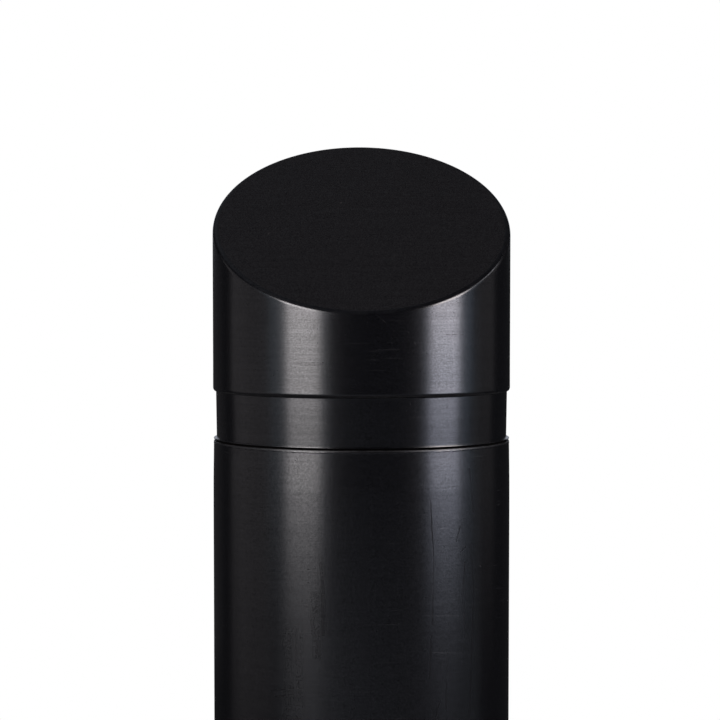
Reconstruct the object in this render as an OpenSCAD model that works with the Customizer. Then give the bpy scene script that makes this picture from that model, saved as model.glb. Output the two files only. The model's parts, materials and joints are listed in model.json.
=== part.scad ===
// Bollard cover sleeve: a plastic tube that slips over a steel post, closed by
// a push-fit cap with a slanted top and a recess for a reflective band.
// Millimetres, +Z up, origin at the centre of the tube's base. The slanted face
// looks towards -Y.

/* [Post] */
// Outside diameter of the steel post that the sleeve covers
post_d = 219.1; // [160:0.1:280]
// Gap between the post and the faces of the foam pads
post_gap = 0.45; // [0.2:0.05:1]

/* [Sleeve tube] */
// Length of the tube
tube_h = 825; // [500:5:1400]
// Wall of the tube
tube_wall = 5; // [4:0.5:10]
// How far the cut top end has drawn in, on the radius
toe_in = 0.55; // [0.1:0.05:1]
// Length of tube over which the top end draws in
toe_h = 31; // [10:1:60]
// Rounding of the top end's outer edge
tube_edge_r = 0.6; // [0.5:0.1:2]
// Chamfer inside the top end, where the cap is led in
mouth_chamfer = 1; // [0.5:0.1:2]
// Chamfer around the outside of the base
base_chamfer = 2; // [0.5:0.1:3]

/* [Foam pads] */
// Thickness of a foam pad
pad_t = 4.75; // [3:0.25:12]
// Glue film between a pad and the tube
pad_glue = 0.25; // [0.1:0.05:0.5]
// Height of a pad
pad_h = 60; // [30:1:100]
// Space between neighbouring pads of a row
pad_space = 24; // [10:1:40]
// Height of the lower row above the base
pad_low_z = 40; // [15:1:100]
// Distance from the upper row to the cap's spigot
pad_top_gap = 25; // [5:1:60]

/* [Cap spigot] */
// Depth of the spigot inside the tube
spigot_h = 55; // [45:1:90]
// Gap between the spigot and the tube's bore, on the radius
spigot_gap = 0.6; // [0.4:0.05:1]
// Gap between the post and the inside of the spigot
spigot_post_gap = 0.65; // [0.4:0.05:1.2]
// Chamfer at the spigot's leading edge
spigot_chamfer = 2; // [1:0.1:3]

/* [Seal rings] */
// Radial thickness of a seal ring
ring_t = 1.9; // [1.5:0.1:2.2]
// Height of a seal ring
ring_h = 5; // [3:0.5:7]
// Running gap all round a seal ring
ring_gap = 0.15; // [0.1:0.05:0.25]
// Distance from the spigot's leading edge to the lower groove
ring_low_z = 9; // [6:0.5:12]
// Distance between the two grooves
ring_pitch = 26; // [12:1:30]

/* [Cap recess] */
// Height of the recess, from the tube's end to the head's shoulder
recess_h = 40; // [26:0.5:70]
// Depth of the recess below the head
recess_depth = 2.4; // [1.5:0.1:3.5]
// How much deeper the recess is at its foot
recess_taper = 0.5; // [0:0.1:1]
// Open seam under the lip of the cap
seam_h = 1.4; // [0.6:0.1:2]
// Thickness of the lip at the foot of the recess
lip_t = 0.8; // [0.8:0.1:2]
// Rounding of the lip's edge
lip_edge_r = 0.4; // [0.2:0.1:0.7]
// Width of the ring on which the cap stands on the tube
seat_w = 1.5; // [1:0.1:2.5]

/* [Cap head] */
// Height of the head at the low edge of the slanted face
head_front_h = 65.5; // [30:0.5:120]
// Angle of the slanted face
slant = 30; // [10:1:40]
// Wall of the head
head_wall = 5; // [3:0.5:8]
// Thickness of the slanted face
plate_t = 5; // [3:0.5:8]
// Rounding around the slanted face
rim_r = 3; // [1:0.5:5]
// Rounding of the head's lower edge
skirt_r = 2; // [1:0.5:2]

/* [Hidden] */
$fn = 180;
corner_fn = 48;
// Overlap that lets a cut pass clean through a face
cut = 1;
// How far outside the wall the rim's rounding ends, so that the two cross at a clear angle
rim_bite = 0.15;

// Radii, from the post outwards
pad_in_r = post_d / 2 + post_gap;
pad_out_r = pad_in_r + pad_t;
tube_in_r = pad_out_r + pad_glue;
tube_r = tube_in_r + tube_wall;
tube_end_r = tube_r - toe_in;
spigot_in_r = post_d / 2 + spigot_post_gap;
spigot_r = tube_in_r - spigot_gap;
ring_r = tube_in_r - ring_gap;
ring_in_r = ring_r - ring_t;
groove_r = ring_in_r - ring_gap;
seat_r = tube_in_r + mouth_chamfer + seat_w;
neck_r = tube_r - recess_depth;
neck_foot_r = neck_r - recess_taper;
head_in_r = tube_r - head_wall;
skirt_round = min(skirt_r, recess_depth);

// Heights above the base
spigot_z = tube_h - spigot_h;
lip_z = tube_h + seam_h;
shoulder_z = tube_h + recess_h;
low_edge_z = shoulder_z + head_front_h;
face_z = low_edge_z + tube_r * tan(slant);
ceiling_z = face_z - plate_t / cos(slant);
head_top_z = face_z + tube_r * tan(slant);

// Foam pads: four to a row, named by the side on which they sit
pad_sides = ["front", "right", "back", "left"];
pad_pitch = 360 / len(pad_sides);
pad_span = pad_pitch - 360 * pad_space / (2 * PI * pad_out_r);
pad_rows = [["lower", pad_low_z], ["upper", spigot_z - pad_top_gap - pad_h]];
pad_turn_front = -90;

ring_rows = [["lower", spigot_z + ring_low_z], ["upper", spigot_z + ring_low_z + ring_pitch]];

// What a rounded corner takes off a square one whose point is at [r, r]
module corner_off(r) {
    difference() {
        square(r + cut);
        circle(r, $fn = corner_fn);
    }
}

// Ring of rectangular section
module ring(in_r, out_r, z, h) {
    translate([0, 0, z]) rotate_extrude() translate([in_r, 0]) square([out_r - in_r, h]);
}

// Leans a shape to the slanted face, leaving its upright walls upright
module leaned() {
    multmatrix([[1, 0, 0, 0], [0, 1, 0, 0], [0, tan(slant), 1, 0], [0, 0, 0, 1]]) children();
}

// Everything above the slanted plane that crosses the axis at height z
module above_slant(z) {
    size = 4 * tube_r;
    translate([0, 0, z]) rotate([slant, 0, 0]) translate([-size / 2, -size / 2, 0]) cube(size);
}

// Extruded tube, cut square, with its top end drawn in and scraped round
module sleeve_tube() {
    color([0.03, 0.03, 0.032])
    rotate_extrude() difference() {
        polygon([
            [tube_in_r, 0],
            [tube_r - base_chamfer, 0],
            [tube_r, base_chamfer],
            [tube_r, tube_h - toe_h],
            [tube_end_r, tube_h - tube_edge_r],
            [tube_end_r, tube_h],
            [tube_in_r + mouth_chamfer, tube_h],
            [tube_in_r, tube_h - mouth_chamfer]
        ]);
        translate([tube_end_r - tube_edge_r, tube_h - tube_edge_r]) corner_off(tube_edge_r);
    }
}

// Outer section of the cap: spigot, seat, lip, recessed neck and upright head
module cap_section() {
    difference() {
        polygon([
            [0, spigot_z],
            [spigot_r - spigot_chamfer / 2, spigot_z],
            [spigot_r, spigot_z + spigot_chamfer],
            [spigot_r, tube_h],
            [seat_r, tube_h],
            [seat_r, lip_z],
            [tube_end_r, lip_z],
            [tube_end_r, lip_z + lip_t],
            [neck_foot_r, lip_z + lip_t],
            [neck_r, shoulder_z],
            [tube_r, shoulder_z],
            [tube_r, head_top_z],
            [0, head_top_z]
        ]);
        translate([tube_r - skirt_round, shoulder_z + skirt_round]) mirror([0, 1]) corner_off(skirt_round);
        translate([tube_end_r - lip_edge_r, lip_z + lip_t - lip_edge_r]) corner_off(lip_edge_r);
    }
}

// Everything under the slanted face, with the rounding of its rim
module under_slanted_face() {
    foot_z = spigot_z - 2 * tube_r;
    leaned() rotate_extrude() difference() {
        translate([0, foot_z]) square([tube_r + rim_bite, face_z - foot_z]);
        translate([tube_r + rim_bite - rim_r, face_z - rim_r]) corner_off(rim_r);
    }
}

// The space inside the cap: the spigot's bore, which widens into the head
module cap_cavity() {
    widen_h = head_in_r - spigot_in_r;
    widen_z = shoulder_z + head_wall - widen_h;
    translate([0, 0, spigot_z - cut]) cylinder(r = spigot_in_r, h = widen_z - spigot_z + cut);
    translate([0, 0, widen_z]) cylinder(r1 = spigot_in_r, r2 = head_in_r, h = widen_h);
    difference() {
        translate([0, 0, widen_z + widen_h]) cylinder(r = head_in_r, h = head_top_z - widen_z);
        above_slant(ceiling_z);
    }
}

// Hollow moulded cap: spigot with two ring grooves, recessed neck and slanted head
module slant_cap() {
    color([0.035, 0.035, 0.037])
    difference() {
        intersection() {
            rotate_extrude() cap_section();
            under_slanted_face();
        }
        cap_cavity();
        for (row = ring_rows) ring(groove_r, spigot_r + cut, row[1], ring_h + 2 * ring_gap);
    }
}

// Rubber ring that fills the gap between the spigot and the bore
module seal_ring(row) {
    color([0.05, 0.05, 0.05]) ring(ring_in_r, ring_r, row[1] + ring_gap, ring_h);
}

// Foam pad glued inside the tube, which centres the post
module foam_pad(row, side) {
    color([0.2, 0.2, 0.21])
    translate([0, 0, row[1]])
    rotate([0, 0, pad_turn_front + side * pad_pitch - pad_span / 2])
    rotate_extrude(angle = pad_span) translate([pad_in_r, 0]) square([pad_t, pad_h]);
}

sleeve_tube();
slant_cap();
for (row = ring_rows) seal_ring(row);
for (row = pad_rows, side = [0 : len(pad_sides) - 1])
    foam_pad(row, side);
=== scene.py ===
"""Looks of a bollard cover sleeve: its smooth pieces, their finishes, a studio and the camera.

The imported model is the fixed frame, in metres, +Z up, with the slanted face looking towards -Y.
Every piece made here stands for one node of that model and rides on the node's body.
"""

import json
import logging
import math
from collections.abc import Mapping
from dataclasses import dataclass, field, replace
from enum import Enum, IntEnum

import bpy
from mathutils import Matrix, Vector

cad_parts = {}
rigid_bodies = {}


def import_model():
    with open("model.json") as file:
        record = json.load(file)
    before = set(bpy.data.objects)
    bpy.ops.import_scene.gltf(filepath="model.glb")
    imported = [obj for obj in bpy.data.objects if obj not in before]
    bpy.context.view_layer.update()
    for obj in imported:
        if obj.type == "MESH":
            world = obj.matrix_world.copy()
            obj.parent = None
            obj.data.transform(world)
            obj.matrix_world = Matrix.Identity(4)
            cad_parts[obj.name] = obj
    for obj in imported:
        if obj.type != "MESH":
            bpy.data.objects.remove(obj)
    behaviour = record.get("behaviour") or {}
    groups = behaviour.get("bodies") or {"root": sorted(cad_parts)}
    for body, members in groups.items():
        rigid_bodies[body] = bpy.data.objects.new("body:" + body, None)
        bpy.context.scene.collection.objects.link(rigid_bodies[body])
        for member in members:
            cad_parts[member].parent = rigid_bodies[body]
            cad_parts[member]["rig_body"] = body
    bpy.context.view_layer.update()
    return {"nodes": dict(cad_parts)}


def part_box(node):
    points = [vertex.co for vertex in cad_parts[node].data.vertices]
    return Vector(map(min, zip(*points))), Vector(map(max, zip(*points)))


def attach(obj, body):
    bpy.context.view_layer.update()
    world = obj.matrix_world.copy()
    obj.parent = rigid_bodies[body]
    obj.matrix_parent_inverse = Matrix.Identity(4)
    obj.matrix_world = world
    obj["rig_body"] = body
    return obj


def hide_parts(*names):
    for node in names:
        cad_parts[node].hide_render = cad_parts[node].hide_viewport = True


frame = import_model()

LOG = logging.getLogger("bollard_sleeve")
MM = 0.001
# Rounding of an edge that is cut or moulded sharp
FINE = 0.3 * MM
# Distance within which the points of a closed shell become one
WELD = 0.001 * MM
PLASTIC_IOR = 1.54

Node = bpy.types.Node
Object = bpy.types.Object
Material = bpy.types.Material
Socket = bpy.types.NodeSocket
Tree = bpy.types.NodeTree
Plug = Socket | Material | float | int | str | tuple
Colour = tuple[float, float, float]
Range = tuple[float, float]


# Node trees

@dataclass
class Wiring:
    """Adds nodes to one tree and joins them.

    Attributes:
        tree: Tree that the nodes go into.
    """

    tree: Tree

    def feed(self, socket: Socket, value: Plug) -> None:
        """Joins a socket to another one, or gives it a value.

        Args:
            socket: Input that is fed.
            value: Output to join it to, or a plain value.
        """
        if isinstance(value, Socket):
            self.tree.links.new(value, socket)
        elif socket.type == "RGBA":
            socket.default_value = (*value[:3], 1.0)
        else:
            socket.default_value = value

    def add(self, kind: str, inputs: dict[str | int, Plug] | None = None, **settings: object) -> Node:
        """Adds one node.

        Args:
            kind: Blender's name for the kind of node.
            inputs: What feeds the node's inputs, by name or number.
            **settings: The node's own properties.

        Returns:
            The new node.
        """
        node = self.tree.nodes.new(kind)
        for name, value in settings.items():
            setattr(node, name, value)
        for key, value in (inputs or {}).items():
            self.feed(node.inputs[key], value)
        return node

    def first(self, kind: str, inputs: dict[str | int, Plug] | None = None, **settings: object) -> Socket:
        """Returns the first output of a new node."""
        return self.add(kind, inputs, **settings).outputs[0]

    def math(self, operation: str, *values: Plug) -> Socket:
        """Returns the result of a math node on the values."""
        return self.first("ShaderNodeMath", dict(enumerate(values)), operation=operation)

    def whole(self, operation: str, *values: Plug) -> Socket:
        """Returns the result of a whole-number math node on the values."""
        return self.first("FunctionNodeIntegerMath", dict(enumerate(values)), operation=operation)

    def chain(self, operation: str, *values: Plug) -> Socket:
        """Takes values one after another into a row of math nodes.

        Args:
            operation: What each node does.
            *values: The values, of which a single one comes out as it is.

        Returns:
            The result of the last node.
        """
        result = values[0]
        for value in values[1:]:
            result = self.math(operation, result, value)
        return result

    def total(self, *values: Plug) -> Socket:
        """Returns the sum of the values."""
        return self.chain("ADD", *values)

    def times(self, *values: Plug) -> Socket:
        """Returns the product of the values."""
        return self.chain("MULTIPLY", *values)

    def most(self, *values: Plug) -> Socket:
        """Returns the greatest of the values."""
        return self.chain("MAXIMUM", *values)

    def minus(self, value: Plug, less: Plug) -> Socket:
        """Returns the first value less the second."""
        return self.math("SUBTRACT", value, less)

    def scaled(self, value: Plug, by: Plug, plus: Plug) -> Socket:
        """Returns the value times a factor, plus an offset."""
        return self.math("MULTIPLY_ADD", value, by, plus)

    def step(self, value: Plug, low: Plug, high: Plug) -> Socket:
        """Returns a smooth step that is 0 at low and 1 at high."""
        inputs = {"Value": value, "From Min": low, "From Max": high}
        return self.add("ShaderNodeMapRange", inputs, interpolation_type="SMOOTHSTEP").outputs["Result"]

    def blend(self, share: Plug, under: Plug, over: Plug) -> Socket:
        """Returns a colour that goes from under to over."""
        inputs = {0: share, 6: under, 7: over}
        return self.add("ShaderNodeMix", inputs, data_type="RGBA").outputs[2]

    def noise(self, vector: Plug, scale: Plug, detail: float = 1.0) -> Socket:
        """Returns soft noise from 0 to 1, with scale features to the metre."""
        inputs = {"Vector": vector, "Scale": scale, "Detail": detail}
        return self.add("ShaderNodeTexNoise", inputs).outputs["Fac"]

    def stretched(self, vector: Plug, stretch: Plug) -> Socket:
        """Returns the vector multiplied by another, axis by axis."""
        return self.first("ShaderNodeVectorMath", {0: vector, 1: stretch}, operation="MULTIPLY")

    def split(self, vector: Plug) -> Mapping[str, Socket]:
        """Returns the vector's X, Y and Z."""
        return self.add("ShaderNodeSeparateXYZ", {0: vector}).outputs

    def joined(self, x: Plug, y: Plug, z: Plug) -> Socket:
        """Returns the vector of three values."""
        return self.add("ShaderNodeCombineXYZ", {"X": x, "Y": y, "Z": z}).outputs["Vector"]

    def bump(self, height: Plug) -> Socket:
        """Returns the normal of a skin of that height, in millimetres."""
        inputs = {"Strength": 1.0, "Distance": MM, "Height": height}
        return self.add("ShaderNodeBump", inputs).outputs["Normal"]


def declare(tree: Tree, inputs: dict[str, str], outputs: dict[str, str]) -> None:
    """Gives a tree its sockets.

    Args:
        tree: The tree.
        inputs: Kind of each named input, such as Float or Vector.
        outputs: Kind of each named output.
    """
    for side, sockets in (("INPUT", inputs), ("OUTPUT", outputs)):
        for label, kind in sockets.items():
            tree.interface.new_socket(label, in_out=side, socket_type=f"NodeSocket{kind}")


def start_wiring(owner: Material | bpy.types.World) -> Wiring:
    """Clears the nodes of a material or a world.

    Args:
        owner: The material or the world.

    Returns:
        Its wiring.
    """
    owner.use_nodes = True
    owner.node_tree.nodes.clear()
    return Wiring(owner.node_tree)


def start_group(name: str, inputs: dict[str, str], outputs: list[str]) -> tuple[Wiring, dict, dict]:
    """Starts a shader node group.

    Args:
        name: Name of the group.
        inputs: Kind of each named input, such as Float or Vector.
        outputs: Names of the outputs, which are plain values.

    Returns:
        The group's wiring, its inputs as sockets to read and its outputs as sockets to feed.
    """
    tree = bpy.data.node_groups.new(name, "ShaderNodeTree")
    declare(tree, inputs, dict.fromkeys(outputs, "Float"))
    wiring = Wiring(tree)
    given = wiring.add("NodeGroupInput").outputs
    made = wiring.add("NodeGroupOutput").inputs
    return wiring, {label: given[label] for label in inputs}, {label: made[label] for label in outputs}


# Effects that several finishes share

def moulded_grain() -> Tree:
    """Builds the group for the skin of moulded or extruded plastic.

    Returns:
        A group that gives fine grain, the softer orange peel under it, broad cloudy mottle, and the
        lines that a cloth leaves round the wall.
    """
    inputs = {"Vector": "Vector", "Grain scale": "Float", "Peel scale": "Float", "Mottle scale": "Float"}
    w, given, made = start_group("moulded_grain", inputs, ["Grain", "Peel", "Mottle", "Lines"])
    for name, detail in {"Grain": 1.5, "Peel": 0.5, "Mottle": 3.0}.items():
        w.feed(made[name], w.noise(given["Vector"], given[f"{name} scale"], detail))
    wiping = w.stretched(given["Vector"], (26.0, 26.0, 950.0))
    w.feed(made["Lines"], w.noise(wiping, scale=1.0, detail=2.5))
    return w.tree


def scattered_dots() -> Tree:
    """Builds the group for pits and specks.

    Returns:
        A group that gives a mask of small dots, of which Share is the part of the cells that hold one.
    """
    inputs = {"Vector": "Vector", "Scale": "Float", "Share": "Float", "Size": "Float"}
    w, given, made = start_group("scattered_dots", inputs, ["Mask"])
    cells = w.add("ShaderNodeTexVoronoi", {"Vector": given["Vector"], "Scale": given["Scale"]}).outputs
    lot = w.add("ShaderNodeSeparateColor", {"Color": cells["Color"]}).outputs
    chosen = w.math("LESS_THAN", lot["Red"], given["Share"])
    size = w.times(given["Size"], w.scaled(lot["Green"], by=0.7, plus=0.5))
    inside = w.minus(1.0, w.step(cells["Distance"], w.times(size, 0.5), size))
    w.feed(made["Mask"], w.times(chosen, inside))
    return w.tree


def drawn_streaks() -> Tree:
    """Builds the group for rub marks and drawing lines.

    Returns:
        A group that gives a mask of streaks. Stretch is how many repeats to the metre each axis has, so
        the streaks run along the axis with the fewest.
    """
    inputs = {"Vector": "Vector", "Stretch": "Vector", "Cover": "Float"}
    w, given, made = start_group("drawn_streaks", inputs, ["Mask"])
    lines = w.noise(w.stretched(given["Vector"], given["Stretch"]), scale=1.0, detail=2.0)
    patches = w.step(w.noise(given["Vector"], scale=14.0, detail=2.0), low=0.42, high=0.62)
    bare_threshold = 0.72
    covering = 0.3
    softness = 0.1
    threshold = w.minus(bare_threshold, w.times(given["Cover"], covering))
    mask = w.step(lines, threshold, w.total(threshold, softness))
    w.feed(made["Mask"], w.times(mask, patches))
    return w.tree


def edge_wear() -> Tree:
    """Builds the group for edges that have been handled.

    Returns:
        A group that breaks up the piece's own wear attribute into a mask.
    """
    inputs = {"Vector": "Vector", "Wear": "Float", "Scale": "Float"}
    w, given, made = start_group("edge_wear", inputs, ["Mask"])
    broken = w.step(w.noise(given["Vector"], given["Scale"], detail=3.0), low=0.35, high=0.7)
    w.feed(made["Mask"], w.times(given["Wear"], broken))
    return w.tree


def round_the_wall() -> Tree:
    """Builds the group that measures a place on a round wall for the lines that are scratched into it.

    Returns:
        A group that gives the length of arc from the front, towards +X, and the height, both as
        unsteady as a scratch runs, and the pressure of the scratch.
    """
    inputs = {"Vector": "Vector", "Radius": "Float"}
    w, given, made = start_group("round_the_wall", inputs, ["Arc", "Height", "Pressure"])
    place = w.split(given["Vector"])
    angle = w.math("ARCTAN2", place["X"], w.times(place["Y"], -1.0))
    shake = 0.8 * MM
    drift = w.scaled(w.noise(given["Vector"], scale=55.0, detail=2.0), by=2 * shake, plus=-shake)
    w.feed(made["Arc"], w.scaled(angle, given["Radius"], drift))
    w.feed(made["Height"], w.total(place["Z"], drift))
    streaky = w.stretched(given["Vector"], (1.0, 1.0, 0.08))
    pressure = w.step(w.noise(streaky, scale=420.0, detail=2.0), low=0.25, high=0.6)
    w.feed(made["Pressure"], pressure)
    return w.tree


def drag_line() -> Tree:
    """Builds the group for one scratch.

    Returns:
        A group that gives the mask of a straight line on a round wall. Turn is its angle from level.
    """
    names = ["Arc", "Height", "Middle arc", "Middle height", "Turn", "Length", "Width", "Strength"]
    w, given, made = start_group("drag_line", dict.fromkeys(names, "Float"), ["Mask"])
    aside = w.minus(given["Arc"], given["Middle arc"])
    up = w.minus(given["Height"], given["Middle height"])
    cosine = w.math("COSINE", given["Turn"])
    sine = w.math("SINE", given["Turn"])
    along = w.math("ABSOLUTE", w.scaled(aside, cosine, w.times(up, sine)))
    across = w.math("ABSOLUTE", w.minus(w.times(up, cosine), w.times(aside, sine)))
    half = w.times(given["Length"], 0.5)
    core = 0.3
    ends = w.step(along, w.total(half, given["Width"]), half)
    sides = w.step(across, given["Width"], w.times(given["Width"], core))
    w.feed(made["Mask"], w.times(given["Strength"], w.times(ends, sides)))
    return w.tree


@dataclass
class Effects:
    """Shader node groups, built once and placed in each finish with its own values.

    Attributes:
        grain: Skin of moulded or extruded plastic.
        dots: Pits and specks.
        streaks: Rub marks and drawing lines.
        wear: Handled edges.
        wall: Place on a round wall.
        drag: One scratch.
    """

    grain: Tree = field(default_factory=moulded_grain)
    dots: Tree = field(default_factory=scattered_dots)
    streaks: Tree = field(default_factory=drawn_streaks)
    wear: Tree = field(default_factory=edge_wear)
    wall: Tree = field(default_factory=round_the_wall)
    drag: Tree = field(default_factory=drag_line)


def place_group(w: Wiring, group: Tree, inputs: dict[str, Plug]) -> Mapping[str, Socket]:
    """Places a group in a material.

    Args:
        w: Wiring of the material.
        group: Group to place.
        inputs: What feeds the group's inputs.

    Returns:
        The group's outputs by name.
    """
    return w.add("ShaderNodeGroup", inputs, node_tree=group).outputs


# Finishes

def start_material(name: str) -> tuple[Wiring, Node, Socket]:
    """Starts a material.

    Args:
        name: Name of the material.

    Returns:
        The material's wiring, its Principled shader and the Object coordinates.
    """
    w = start_wiring(bpy.data.materials.new(name))
    shader = w.add("ShaderNodeBsdfPrincipled")
    w.add("ShaderNodeOutputMaterial", {"Surface": shader.outputs["BSDF"]})
    return w, shader, w.add("ShaderNodeTexCoord").outputs["Object"]


@dataclass(frozen=True)
class Scratch:
    """A scratch on a round wall, as a place and a size on the object.

    Attributes:
        start: Where it starts, in degrees from the front towards +X and in metres above the base.
        end: Where it ends, in the same way.
        tone: How it shows, from -1 for a dark line to 1 for a pale one.
        width: How far it reaches to each side.
    """

    start: tuple[float, float]
    end: tuple[float, float]
    tone: float = -1.0
    width: float = 0.7 * MM

    def ends(self, radius: float) -> list[Vector]:
        """Returns its two ends, each as a length of arc on a wall of that radius and a height."""
        return [Vector((math.radians(turn) * radius, height)) for turn, height in (self.start, self.end)]


@dataclass(frozen=True)
class SatinPlastic:
    """Black polyethylene with a satin skin.

    Attributes:
        name: Name of the material.
        colour: Colour of the plastic.
        dust_colour: Colour of the dust.
        worn_colour: Colour of worn and scratched plastic.
        roughness: Roughness of a clean stretch of skin.
        gloss: Strength of the mirror that follows the grain and the orange peel.
        film: Strength of the smooth mirror over it.
        glint: How far the film's strength jumps from grain to grain.
        ripple: How far the film's strength follows the orange peel.
        wiped: How far the film's strength follows the lines left by a cloth.
        mottle: How far the roughness wanders from place to place.
        mottle_scale: Clouds of that wandering to the metre.
        fleck: How far the colour jumps from grain to grain.
        grain: Height of the fine grain, in millimetres.
        grain_scale: Grains to the metre.
        grain_stretch: How closely the skin's features follow each other along each axis.
        peel: Height of the orange peel, in millimetres.
        peel_scale: Features of the orange peel to the metre.
        pits: Share of the cells that hold a pit.
        pit_scale: Those cells to the metre.
        pit_size: Size of a pit, as a share of its cell.
        pit_depth: Depth of a pit, in millimetres.
        dust: Share of the cells that hold a speck of dust.
        dust_scale: Those cells to the metre.
        dust_size: Size of a speck, as a share of its cell.
        scuffs: How much of the skin is scuffed.
        scuff_stretch: How the scuffs are drawn out, in repeats to the metre along each axis.
        scuff_tint: How far a scuff takes the worn colour.
        scuff_dulling: How much rougher a scuff is.
        scuff_depth: Depth of a scuff, in millimetres.
        wear_scale: Features of the edge wear to the metre.
        marks: The larger scratches.
        wall_radius: Radius of the wall that carries them.
        drag_depth: Depth of a dark scratch, in millimetres.
        scratch_shine: How much film a pale scratch adds.
        mark_dulling: How much rougher a pit, speck or dark scratch is.
        mark_hiding: How much of the film a pit, speck or dark scratch takes away.
    """

    name: str
    colour: Colour = (0.0018, 0.0018, 0.0025)
    dust_colour: Colour = (0.16, 0.155, 0.15)
    worn_colour: Colour = (0.022, 0.022, 0.023)
    roughness: float = 0.21
    gloss: float = 0.08
    film: float = 0.85
    glint: float = 1.3
    ripple: float = 0.15
    wiped: float = 0.6
    mottle: float = 0.03
    mottle_scale: float = 16.0
    fleck: float = 0.8
    grain: float = 0.01
    grain_scale: float = 1500.0
    grain_stretch: tuple[float, float, float] = (1.0, 1.0, 1.0)
    peel: float = 0.03
    peel_scale: float = 800.0
    pits: float = 0.3
    pit_scale: float = 420.0
    pit_size: float = 0.17
    pit_depth: float = 0.05
    dust: float = 0.05
    dust_scale: float = 120.0
    dust_size: float = 0.055
    scuffs: float = 0.4
    scuff_stretch: tuple[float, float, float] = (30.0, 30.0, 900.0)
    scuff_tint: float = 0.25
    scuff_dulling: float = 0.06
    scuff_depth: float = 0.004
    wear_scale: float = 150.0
    marks: tuple[Scratch, ...] = ()
    wall_radius: float = 0.12
    drag_depth: float = 0.03
    scratch_shine: float = 0.3
    mark_dulling: float = 0.3
    mark_hiding: float = 0.85

    def scratch_mask(self, w: Wiring, effects: Effects, place: Socket, side: int) -> Plug:
        """Lays the scratches on the wall.

        Args:
            w: Wiring of the material.
            effects: Shared groups.
            place: Object coordinates.
            side: -1 for the dark scratches, 1 for the pale ones.

        Returns:
            The mask of all those scratches, or 0 where there are none.
        """
        marks = [mark for mark in self.marks if side * mark.tone > 0]
        if not marks:
            return 0.0
        wall = place_group(w, effects.wall, {"Vector": place, "Radius": self.wall_radius})
        lines = []
        for mark in marks:
            start, end = mark.ends(self.wall_radius)
            middle = (start + end) / 2
            run = end - start
            lines.append(place_group(w, effects.drag, {
                "Arc": wall["Arc"],
                "Height": wall["Height"],
                "Middle arc": middle.x,
                "Middle height": middle.y,
                "Turn": math.atan2(run.y, run.x),
                "Length": run.length,
                "Width": mark.width,
                "Strength": abs(mark.tone),
            })["Mask"])
        return w.times(w.most(*lines), wall["Pressure"])

    def material(self, effects: Effects) -> Material:
        """Builds the finish.

        Args:
            effects: Shared groups.

        Returns:
            The material.
        """
        w, shader, place = start_material(self.name)
        skin = place_group(w, effects.grain, {
            "Vector": w.stretched(place, self.grain_stretch),
            "Grain scale": self.grain_scale,
            "Peel scale": self.peel_scale,
            "Mottle scale": self.mottle_scale,
        })

        def mask(group: Tree, **inputs: Plug) -> Socket:
            """Returns the mask of a group that is placed on the skin."""
            return place_group(w, group, {"Vector": place, **inputs})["Mask"]

        pits = mask(effects.dots, Scale=self.pit_scale, Share=self.pits, Size=self.pit_size)
        dust = mask(effects.dots, Scale=self.dust_scale, Share=self.dust, Size=self.dust_size)
        scuffs = mask(effects.streaks, Stretch=self.scuff_stretch, Cover=self.scuffs)
        own_wear = w.add("ShaderNodeAttribute", attribute_name="wear").outputs["Fac"]
        wear = mask(effects.wear, Wear=own_wear, Scale=self.wear_scale)
        drags = self.scratch_mask(w, effects, place, side=-1)
        scratches = self.scratch_mask(w, effects, place, side=1)
        spoiled = w.most(pits, dust, drags)

        grain = w.minus(skin["Grain"], 0.5)
        fleck = w.scaled(grain, 4 * self.fleck, 1.0)
        plain = w.stretched(self.colour, w.joined(fleck, fleck, fleck))
        paled = w.most(w.times(scuffs, self.scuff_tint), wear, scratches)
        worn = w.blend(paled, plain, self.worn_colour)
        w.feed(shader.inputs["Base Color"], w.blend(dust, worn, self.dust_colour))
        wander = w.scaled(skin["Mottle"], 2 * self.mottle, self.roughness - self.mottle)
        rubbed = w.times(scuffs, self.scuff_dulling)
        broken = w.times(spoiled, self.mark_dulling)
        w.feed(shader.inputs["Roughness"], w.total(wander, rubbed, broken))
        uneven = w.total(
            w.scaled(grain, self.glint, 1.0),
            w.times(w.minus(skin["Peel"], 0.5), self.ripple),
            w.times(w.minus(skin["Lines"], 0.5), self.wiped),
            w.times(scratches, self.scratch_shine),
        )
        film = w.times(uneven, self.film)
        unspoiled = w.minus(1.0, w.times(spoiled, self.mark_hiding))
        w.feed(shader.inputs["Coat Weight"], w.times(w.most(film, 0.0), unspoiled))
        height = w.total(
            w.times(skin["Grain"], self.grain),
            w.times(skin["Peel"], self.peel),
            w.times(pits, -self.pit_depth),
            w.times(drags, -self.drag_depth),
            w.times(scuffs, -self.scuff_depth),
        )
        w.feed(shader.inputs["Normal"], w.bump(height))
        shader.inputs["IOR"].default_value = PLASTIC_IOR
        shader.inputs["Specular IOR Level"].default_value = self.gloss
        shader.inputs["Coat IOR"].default_value = PLASTIC_IOR
        shader.inputs["Coat Roughness"].default_value = self.roughness
        return bpy.data.materials[self.name]


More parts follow.
